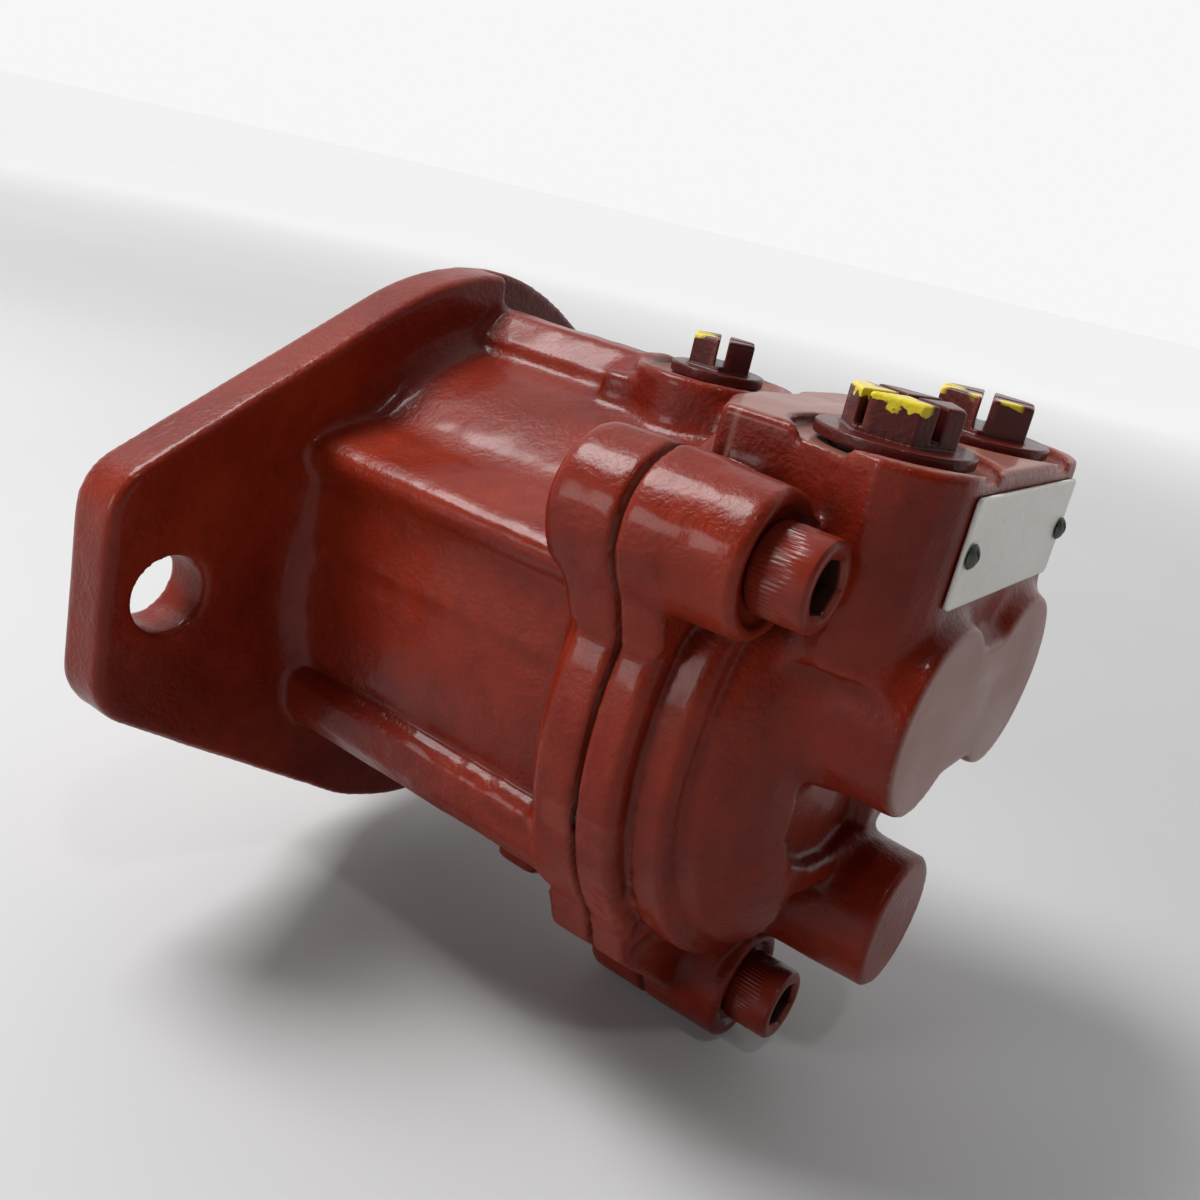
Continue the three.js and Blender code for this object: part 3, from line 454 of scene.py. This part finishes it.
# ------------------------------------------------------------------ rear cover casting
BO = [(83.5, -31.8), (97, -31.4), (102, -32.4), (107, -35.4), (112, -36.9), (116.5, -35.6), (120.5, -32.2), (122.5, -28.4), (123.1, -25.8)]
BLK = BO + [(x, -y) for x, y in BO][::-1] + [(77.5, 20), (76.5, 10), (76.5, -10), (78, -20)]
h = 0.78
g = G((74, -60, -72), (129, 60, 56), h)
C0 = SPLIT + 0.3
D = g.lathex([(80, 0), (80, 51.2), (91.6, 51.2), (92.4, 50.4), (92.8, 47.2), (98.9, 47.2), (99.7, 46.4), (100.2, 43.8),
              (103.5, 42.6), (107, 39.4), (110, 34.6), (111.8, 29.5), (112.3, 25), (112.3, 0)], rr=0.8)
pocket = g.polyx([(-29, 1), (-27.4, -10), (-22, -17), (-14, -20.4), (-5, -21.8), (6, -19.8), (8, -6), (-2, -1), (-14, 0)], 109.2, 130, 1.6)
below = g.polyx([(-17, -25.4), (-6, -27.2), (7, -25.2), (15, -20), (40, -14), (44, -52), (-12, -52)], 105.4, 130, 1.5)
D = smax(D, -pocket, 2.2)
D = smax(D, -below, 2.2)
for s in (-1, 1):
    D = smin(D, g.lathex([(80, 0), (80, 12), (104.4, 11.6), (105.5, 10.6), (105.5, 0)], s * 45.4, 36.3), 3.2)
D = smin(D, g.polyx(WEB_U, 80, 93.4, 1.2), 2.0)
D = smin(D, g.polyx(mirror(WEB_U), 80, 93.4, 1.2), 2.0)
D = smin(D, g.polyx([(-41, 8), (-38, 38), (38, 38), (41, 8)], 80, 100.4, 2.0), 2.6)
D = smin(D, g.polyx(WEB_LOW, 80, 93.0, 1.2), 2.0)
D = smin(D, g.lathex([(80, 0), (80, 12), (101.6, 11.6), (102.6, 10.6), (102.6, 0)], 0, -57.8), 3.0)
D = smin(D, g.polyx([(-11.0, -57), (-13, -40), (13, -40), (11.0, -57)], 80, 99.4, 1.6), 2.2)
blk = g.polyz(BLK, 10, 54, 1.3, draft=0.0)
blk = np.maximum(blk, 22 - g.Z)
blk_back = np.maximum(blk, C0 + 0.1 - g.X)
lob2 = np.minimum(np.hypot(g.Y - 17.4, g.Z - 14.4), np.hypot(g.Y + 17.4, g.Z - 14.4)) - 16.1 - np.maximum(112 - g.X, 0) * 0.16
lob2 = smin(lob2, poly2(g.ys[:, None], g.zs[None, :], [(-12, 2.4), (12, 2.4), (12, 25.0), (-12, 25.0)])[None] + 0 * g.X, 1.5)
lobes = g._join(lob2 + 0.8, np.abs(g.X - 112.2) - (14.2 - 0.8), 0.8)
low = g.lathex([(94, 0), (94, 14), (123.2, 13.2), (124, 12.4), (124, 0)], 7.4, -34)
D = smin(D, blk_back, 3.4)
D = smin(D, lobes, 4.6)
D = smin(D, low, 2.6)
# front lip of the block over the joint
lip = np.maximum(blk, g.X - 92)
lip = smax(lip, 44.6 - g.Z, 0.8)
lip = np.maximum(lip, 76.5 - g.X)
lip = smax(lip, -(np.hypot(g.Y, g.Z) - 52.5 + 0 * g.X), 0.5)
lip = smax(lip, -(np.hypot(g.X - 63, g.Y) - 15.5 + 0 * g.Z), 0.5)
for y, z in SCREWS[:2]:
    lip = smax(lip, -(np.hypot(g.Y - y, g.Z - z) - 12.5 + 0 * g.X), 0.5)
body = np.maximum(D, C0 - g.X)
marks = np.clip(1 - (np.abs(np.hypot(g.Y, g.Z) - 50.5) - 2.2) / 1.0, 0, 1) * np.clip(1 - (np.abs(g.X - 92) - 3.6) / 1.0, 0, 1) * ((g.Z < -24) & (g.Z > -42) & (g.Y < -20))
cast = body + 0.15 * value_noise(g, 8.0, 11) + 0.06 * value_noise(g, 3.0, 12) + 0.55 * marks * value_noise(g, 2.4, 13)
flat = np.minimum(np.minimum(np.abs(g.X - 126.4), np.abs(g.Z - 54)), np.minimum(np.abs(g.X - C0), np.abs(g.X - 124)))
keep = np.clip((flat - 0.5) / 1.0, 0, 1)
body = body * (1 - keep) + cast * keep
body = smax(body, C0 - g.X, 0.9)
D = np.minimum(body, np.maximum(lip, g.X - (C0 + 1.5)))
for i, (y, z) in enumerate(SCREWS):
    D = cut(D, g.cylx(y, z, 5.3, 70, 130, 0.2), 0.3)
    D = cut(D, g.cylx(y, z, 8.6 if i == 2 else 9.1, 101.2 if i == 2 else 104.05, 122, 0.3), 0.9)
for s in (-1, 1):
    D = cut(D, g.cylz(106.6, s * 18.6, 9.9, 14.4, 60, 0.3), 0.6)
    D = cut(D, g.cylz(106.6, s * 18.6, 16.0, 52.1, 60, 0.2), 0.3)
    D = cut(D, g.cylx(s * 17.4, 14.4, 7.5, 80, 112.6, 0.3), 0.4)
    D = cut(D, np.maximum(g.cylx(s * 46.6, -13, 2.35, 80, 91.5, 0.2), np.hypot(g.Y, g.Z) - 50.3), 0.2)
D = cut(D, g.cylx(0, 0, 11.9, 80, 99.5, 0.3), 0.4)
D = D.astype(np.float32)
# faces that get the machined tint with its painted reflection: rear face, joint face, flat top of the port block, and
# weakly the low boss face
def machined_and_sheen_cover(V, n):
    a = (np.abs(V[:, 0] - 126.4) < 0.35) | (np.abs(V[:, 0] - C0) < 0.35)
    b = (V[:, 2] > 52.0) & (n[:, 2] > 0.9)
    c = (np.abs(V[:, 0] - 124) < 0.35) & (V[:, 2] < -15)
    return np.maximum((a | b).astype(float), c * 0.12)
cover = sdf_piece("rear_cover_casting", g, D, "pump_body", M_paint, machined_and_sheen_cover)
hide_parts("rear_cover")

# ------------------------------------------------------------------ cap screws
def revolve(rows, n, y=0.0, z=0.0, axis="x", close=True):
    """rows of (axial, radius or radius(theta)); poles where the radius is 0."""
    V, F = [], []; ring = []
    th = np.arange(n) * 2 * np.pi / n
    for x, r in rows:
        if not callable(r) and r == 0:
            ring.append([len(V)]); V.append((x, 0.0, 0.0)); continue
        rr = r(th) if callable(r) else np.full(n, r)
        ring.append(list(range(len(V), len(V) + n)))
        V += [(x, a, b) for a, b in zip(rr * np.cos(th), rr * np.sin(th))]
    for a, b in zip(ring[:-1], ring[1:]):
        for i in range(n):
            j = (i + 1) % n
            if len(a) == 1: F.append((a[0], b[j], b[i]))
            elif len(b) == 1: F.append((a[i], a[j], b[0]))
            else: F.append((a[i], a[j], b[j], b[i]))
    V = np.array(V)
    if axis == "z": V = V[:, [1, 2, 0]]
    V = V + (np.array([0, y, z]) if axis == "x" else 0)
    return V, [tuple(reversed(f)) for f in F]

def hexr(af, rot):
    return lambda th: (af / 2) / np.cos((th - rot + np.pi / 6) % (np.pi / 3) - np.pi / 6)

def shade(ob, angle=35):
    me = ob.data
    bm = bmesh.new(); bm.from_mesh(me)
    bmesh.ops.recalc_face_normals(bm, faces=bm.faces)
    for e in bm.edges:
        if len(e.link_faces) == 2 and e.calc_face_angle(0) > math.radians(angle): e.smooth = False
    for f in bm.faces: f.smooth = True
    bm.to_mesh(me); bm.free()

for i, (y, z) in enumerate(SCREWS):
    seat = (101.2 if i == 2 else 104.05) + 0.3
    HR, HH = 7.14, 9.5
    knurl = lambda th, a=0.15, r=HR: r - a * (0.5 + 0.5 * np.cos(60 * th)) 
    hx, rot = 7.94, 0.35 + i
    f = seat + HH
    rows = [(73.5, 0), (73.5, 4.1), (74.2, 4.72), (seat - 0.02, 4.72), (seat, 4.72), (seat, 6.6), (seat + 0.35, 6.9), (seat + 0.9, knurl),
            (seat + 3, knurl), (seat + 5.2, knurl), (seat + 6.0, lambda th: np.full(len(th), HR - 0.04)), (f - 1.1, HR - 0.04), (f - 0.5, HR - 0.22), (f - 0.12, HR - 0.66), (f, HR - 1.0),
            (f, 5.15), (f - 0.1, 4.95), (f - 0.55, lambda th: np.minimum(hexr(hx, rot)(th) * 1.03, 4.7)), (f - 1.0, hexr(hx, rot)), (seat + 4.6, hexr(hx, rot)), (seat + 4.0, lambda th: hexr(hx, rot)(th) * 0.8), (seat + 3.2, 0)]
    V, F = revolve(rows, 360, y, z)
    # inner walls of the hex socket, which get the painted shade
    socket_shade_mask = ((np.hypot(V[:, 1] - y, V[:, 2] - z) < 4.62) & (V[:, 0] > seat + 2) & (V[:, 0] < f - 0.6)).astype(float)
    ob = piece(f"cap_screw_{i + 1}", V, F, "pump_body", M_screw, {"socket_shade": socket_shade_mask})
    shade(ob, 32)
    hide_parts(f"cover_screw_{i + 1}")

# ------------------------------------------------------------------ plugs
def yellow_fn(z_top, zones, drop):
    def fn(t, co, col):
        sep = t.nodes.new("ShaderNodeSeparateXYZ"); t.links.new(co, sep.inputs[0])
        zz = mth(t, "MULTIPLY", sep.outputs[2], 1000.0)
        drip = mth(t, "MULTIPLY", maprange(t, noise(t, co, 420, 2, 0.4), 0.35, 0.68), drop)
        lim = mth(t, "SUBTRACT", z_top - 0.5, drip)
        m1 = maprange(t, mth(t, "SUBTRACT", zz, lim), -0.12, 0.12)
        area = None
        for (cx, cy, r) in zones:
            dx = mth(t, "SUBTRACT", mth(t, "MULTIPLY", sep.outputs[0], 1000.0), cx)
            dy = mth(t, "SUBTRACT", mth(t, "MULTIPLY", sep.outputs[1], 1000.0), cy)
            d = mth(t, "SQRT", mth(t, "ADD", mth(t, "MULTIPLY", dx, dx), mth(t, "MULTIPLY", dy, dy)))
            a = maprange(t, d, r, r - 0.8)
            area = a if area is None else mth(t, "MAXIMUM", area, a)
        return mix(t, mth(t, "MULTIPLY", m1, area), col, (0.60, 0.47, 0.022))
    return fn

def make_plug(name, node_names, cx, cy, z0, af, head, disc, discT, spig, depth, slotw, slotD, neck, rot, srot, body, mat, hh):
    R0 = disc + 1.5
    g = G((cx - R0, cy - R0, z0 - depth - 1), (cx + R0, cy + R0, z0 + head + 1), hh)
    hexp = [(cx + af / math.sqrt(3) * math.cos(rot + k * math.pi / 3), cy + af / math.sqrt(3) * math.sin(rot + k * math.pi / 3)) for k in range(6)]
    D = g.polyz(hexp, z0 + discT - 1.5, z0 + head, 0.45)
    # rounded crown of the hexagon
    D = smax(D, np.hypot(g.X - cx, g.Y - cy) * 0.5 + (g.Z - (z0 + head)) * 0.8 - af * 0.5 * 0.5 - 0.25, 0.3)
    c, s = math.cos(srot), math.sin(srot)
    U = (g.X - cx) * c + (g.Y - cy) * s; W = -(g.X - cx) * s + (g.Y - cy) * c
    sl = np.minimum(np.abs(U), np.abs(W)) - slotw / 2
    sl = np.maximum(sl, (z0 + head - slotD) - g.Z)
    D = smax(D, -sl, 0.35)
    D = smin(D, g.cylz(cx, cy, disc, z0, z0 + discT, 0.35), 0.6)
    D = smin(D, g.cylz(cx, cy, neck, z0 - 3, z0 + 0.6, 0.1), 0.2)
    D = smin(D, g.cylz(cx, cy, spig, z0 - depth, z0 - 2.2, 0.4), 0.2)
    ob = sdf_piece(name, g, D.astype(np.float32), body, mat, reach=1.2)
    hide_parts(*node_names)
    return ob
PZ = 54 - 1.4 + 0.3
pl = lambda nm, z_top, zones, drop=2.2: paint(nm, (0.055, 0.0055, 0.0042), (0.080, 0.0085, 0.0060), (0.115, 0.015, 0.010), rough=0.34, cast=0.35, yellow=yellow_fn(z_top, zones, drop))
hp = 0.3
make_plug("port_plug_left_detail", ["port_plug_left"], 106.6, -18.6, PZ, 16, 8.4, 12.6, 2.0, 9.6, 15, 1.8, 5.4, 7.9, 0.115, -0.424, "left_port_plug",
          pl("plug_enamel_left", PZ + 8.4, [(104.8, -24.6, 5.6), (98.6, -20.6, 3.4), (110.0, -26.5, 4.0)]), hp)
make_plug("port_plug_right_detail", ["port_plug_right"], 106.6, 18.6, PZ, 16, 8.4, 12.6, 2.0, 9.6, 15, 1.8, 5.4, 7.9, -0.222, 0.302, "right_port_plug",
          pl("plug_enamel_right", PZ + 8.4, [(99.2, 15.4, 4.6), (107.0, 12.4, 2.2), (112.0, 14.0, 2.6)], 1.0), hp)
make_plug("drain_plug_detail", ["drain_plug"], 63, 0, 53 - 1.0 + 0.3, 11, 7.6, 8.6, 2.0, 5.1, 11, 1.6, 4.6, 3.5, 0.0, 0.517, "drain_port_plug",
          pl("plug_enamel_drain", 52.3 + 7.6, [(59.5, -3.0, 3.6)], 0.4), 0.25)

# ------------------------------------------------------------------ nameplate and its drive screws
def plate_material():
    mat, t, b, co = nt("blank_plate")
    n1 = noise(t, co, 35, 3); n2 = noise(t, co, 500, 4)
    c = ramp(t, n1, [(0.3, (0.60, 0.575, 0.535)), (0.7, (0.68, 0.655, 0.615))])
    c = mix(t, mth(t, "MULTIPLY", maprange(t, n2, 0.6, 0.8), 0.25), c, (0.36, 0.33, 0.31))
    t.links.new(c, b.inputs["Base Color"])
    t.links.new(maprange(t, n2, 0.3, 0.7, 0.34, 0.55), b.inputs["Roughness"])
    b.inputs["Metallic"].default_value = 0.25
    bump(t, b, [(n1, 0.0006, 0.25), (n2, 0.0001, 0.3)])
    return mat
g = G((121.8, -27, 31.5), (125.8, 27, 53), 0.24)
def rrect(hy, z0, z1, r, n=6):
    o = []
    for cy, cz, a in ((hy - r, z1 - r, 0), (-hy + r, z1 - r, 90), (-hy + r, z0 + r, 180), (hy - r, z0 + r, 270)):
        o += arc(cy, cz, r, math.radians(a), math.radians(a + 90), n)
    return o
D = g.polyx(rrect(25.2, 33.6, 51.0, 1.0), 123.3, 124.1, 0.22)
for s in (-1, 1):
    D = smax(D, -(np.hypot(g.Y - s * 22.8, g.Z - 42.2) - 1.3 + 0 * g.X), 0.15)
ob = sdf_piece("blank_nameplate", g, D.astype(np.float32), "pump_body", plate_material(), reach=0.6)
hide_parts("nameplate")
for k, s in enumerate((-1, 1)):
    g = G((118.5, s * 22.8 - 3, 39.2), (126.3, s * 22.8 + 3, 45.2), 0.16)
    x = 124.35
    D = g.sphere(x - 0.9, s * 22.8, 42.2, 2.35, 0.86, 1, 1)
    D = smax(D, x - g.X, 0.1)
    D = smax(D, -np.maximum(np.abs(g.Y - s * 22.8 + 0.5 * (g.Z - 42.2)) - 0.28, x + 0.55 - g.X), 0.1)
    D = smin(D, g.cylx(s * 22.8, 42.2, 1.0, x - 4.6, x + 0.3, 0.3), 0.1)
    ob = sdf_piece(f"drive_screw_{k + 1}", g, D.astype(np.float32), "pump_body", M_dark, reach=0.6)
    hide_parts(f"nameplate_screw_{k + 1}")

# ------------------------------------------------------------------ shaft end: shaft, key, seal, ring
g = G((-48, -17, -17), (101, 17, 17), 0.5)
D = g.lathex([(-46, 0), (-46, 10.1), (-45, 11.11), (-5, 11.11), (-4.4, 12.2), (4.5, 12.2), (4.6, 12.58), (22.4, 12.58), (22.4, 14.6),
              (24.2, 14.6), (24.2, 11.2), (84, 11.2), (84.4, 7.9), (98.4, 7.9), (98.8, 7.4), (98.8, 0)])
key = g.polyz([(-45 + 0, 0)] and arc(-38.8, 0, 3.4, math.pi / 2, 3 * math.pi / 2, 10) + arc(-19.2, 0, 3.4, -math.pi / 2, math.pi / 2, 10), 7.4, 30, 0.1)
D = smax(D, -key, 0.3)
D = smax(D, -(np.hypot(g.Y, g.Z) * 0.8 + np.abs(g.X + 46) * 0.6 - 2.2), 0.3)
ob = sdf_piece("drive_shaft_detail", g, D.astype(np.float32), "shaft", M_steel, reach=1.5)
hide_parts("drive_shaft")
g = G((-44, -5, 6), (-14, 5, 16), 0.25)
D = g.polyz(arc(-38.5, 0, 3.175, math.pi / 2, 3 * math.pi / 2, 10) + arc(-19.5, 0, 3.175, -math.pi / 2, math.pi / 2, 10), 7.6, 13.95, 0.4)
ob = sdf_piece("shaft_key_detail", g, D.astype(np.float32), "shaft", M_steel, reach=0.8)
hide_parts("shaft_key")
V, F = revolve([(-6.4, 12.6), (-6.4, 19.1), (-6.1, 19.5), (1.3, 19.5), (1.6, 19.2), (1.6, 17.5), (-4.4, 17.5), (-4.6, 17.2), (-4.6, 14.2), (-1.2, 13.6), (-1.2, 12.7), (-1.6, 12.5), (-6.0, 12.5), (-6.4, 12.6)], 96)
ob = piece("shaft_seal_detail", V, F, "pump_body", M_rubber); 
bm = bmesh.new(); bm.from_mesh(ob.data); bmesh.ops.remove_doubles(bm, verts=bm.verts, dist=1e-6); bm.to_mesh(ob.data); bm.free(); shade(ob, 30)
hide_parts("shaft_seal")
g = G((-9.5, -23, -23), (-5.8, 23, 23), 0.28)
rad = np.hypot(g.Y, g.Z) + 0 * g.X
ang = np.arctan2(g.Z, g.Y) + 0 * g.X
D = np.maximum(np.abs(rad - 19.35) - 1.75, np.abs(g.X + 7.6) - 0.5)
ga = math.radians(40)
dl = np.abs((ang - ga + math.pi) % (2 * math.pi) - math.pi)
D = smax(D, (math.radians(20) - dl) * 19, 0.3)
for a in (ga - 0.42, ga + 0.42):
    cy, cz = 17.0 * math.cos(a), 17.0 * math.sin(a)
    D = smin(D, np.maximum(np.hypot(g.Y - cy, g.Z - cz) - 2.1, np.abs(g.X + 7.6) - 0.5), 0.4)
    D = smax(D, -(np.hypot(g.Y - cy, g.Z - cz) - 0.9 + 0 * g.X), 0.15)
ob = sdf_piece("retaining_ring_detail", g, D.astype(np.float32), "pump_body", M_dark, reach=0.5)
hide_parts("seal_retaining_ring")

# ------------------------------------------------------------------ floor and light
def stage_plane(name, z, size):
    me = bpy.data.meshes.new(name)
    s = size
    me.from_pydata([(-s, -s, z), (s, -s, z), (s, s, z), (-s, s, z)], [], [(0, 1, 2, 3)])
    ob = bpy.data.objects.new(name, me); bpy.context.scene.collection.objects.link(ob)
    mat, t, b, co = nt("floor_white")
    t.links.new(ramp(t, noise(t, co, 3, 2), [(0.3, (0.50, 0.50, 0.50)), (0.7, (0.54, 0.54, 0.54))]), b.inputs["Base Color"])
    ln = t.nodes.new("ShaderNodeVectorMath"); ln.operation = "LENGTH"; t.links.new(co, ln.inputs[0])
    t.links.new(maprange(t, ln.outputs["Value"], 0.25, 1.8, 0.0, 0.62), b.inputs["Emission Strength"])
    b.inputs["Emission Color"].default_value = (1, 1, 1, 1)
    b.inputs["Roughness"].default_value = 0.9
    b.inputs["Specular IOR Level"].default_value = 0.1
    me.materials.append(mat)
    return ob
stage_plane("floor", (-69.9) * MM, 12.0)

w = bpy.data.worlds.new("studio"); bpy.context.scene.world = w; w.use_nodes = True
wt = w.node_tree
bg = wt.nodes["Background"]
tc = wt.nodes.new("ShaderNodeTexCoord")
dt = wt.nodes.new("ShaderNodeVectorMath"); dt.operation = "DOT_PRODUCT"
dt.inputs[1].default_value = (-0.538, 0.843, 0.0)
wt.links.new(tc.outputs["Generated"], dt.inputs[0])
mr = wt.nodes.new("ShaderNodeMapRange"); mr.interpolation_type = "SMOOTHSTEP"
for k, v in (("From Min", -0.35), ("From Max", 0.45), ("To Min", 0.04), ("To Max", 0.93)):
    mr.inputs[k].default_value = v
wt.links.new(dt.outputs["Value"], mr.inputs["Value"])
sp = wt.nodes.new("ShaderNodeSeparateXYZ"); wt.links.new(tc.outputs["Generated"], sp.inputs[0])
ab = wt.nodes.new("ShaderNodeMath"); ab.operation = "ABSOLUTE"; wt.links.new(sp.outputs[2], ab.inputs[0])
hz = wt.nodes.new("ShaderNodeMapRange"); hz.interpolation_type = "SMOOTHSTEP"
for k, v in (("From Min", 0.06), ("From Max", 0.34), ("To Min", 0.50), ("To Max", 0.0)):
    hz.inputs[k].default_value = v
wt.links.new(ab.outputs[0], hz.inputs["Value"])
mx = wt.nodes.new("ShaderNodeMath"); mx.operation = "MAXIMUM"
wt.links.new(mr.outputs[0], mx.inputs[0]); wt.links.new(hz.outputs[0], mx.inputs[1])
wt.links.new(mx.outputs[0], bg.inputs[1])
bg.inputs[0].default_value = (1, 1, 1, 1)

def area(name, loc, target, size, size_y, power, color=(1, 1, 1)):
    L = bpy.data.lights.new(name, "AREA"); L.shape = "RECTANGLE"; L.size = size; L.size_y = size_y; L.energy = power; L.color = color
    o = bpy.data.objects.new(name, L); bpy.context.scene.collection.objects.link(o)
    o.location = loc
    o.rotation_euler = (Vector(target) - Vector(loc)).to_track_quat("-Z", "Y").to_euler()
    return o
area("top_softbox", (-0.38, -0.24, 0.76), (0.04, 0, 0), 0.36, 0.36, 9.0)
area("side_softbox", (-0.42, -0.92, 0.24), (0.03, 0, 0), 0.28, 0.36, 2.7)
area("spark", (0.42, -0.38, 0.85), (0.10, 0, 0), 0.07, 0.07, 0.8)

bpy.context.scene.view_settings.view_transform = "Standard"
bpy.context.scene.view_settings.look = "None"
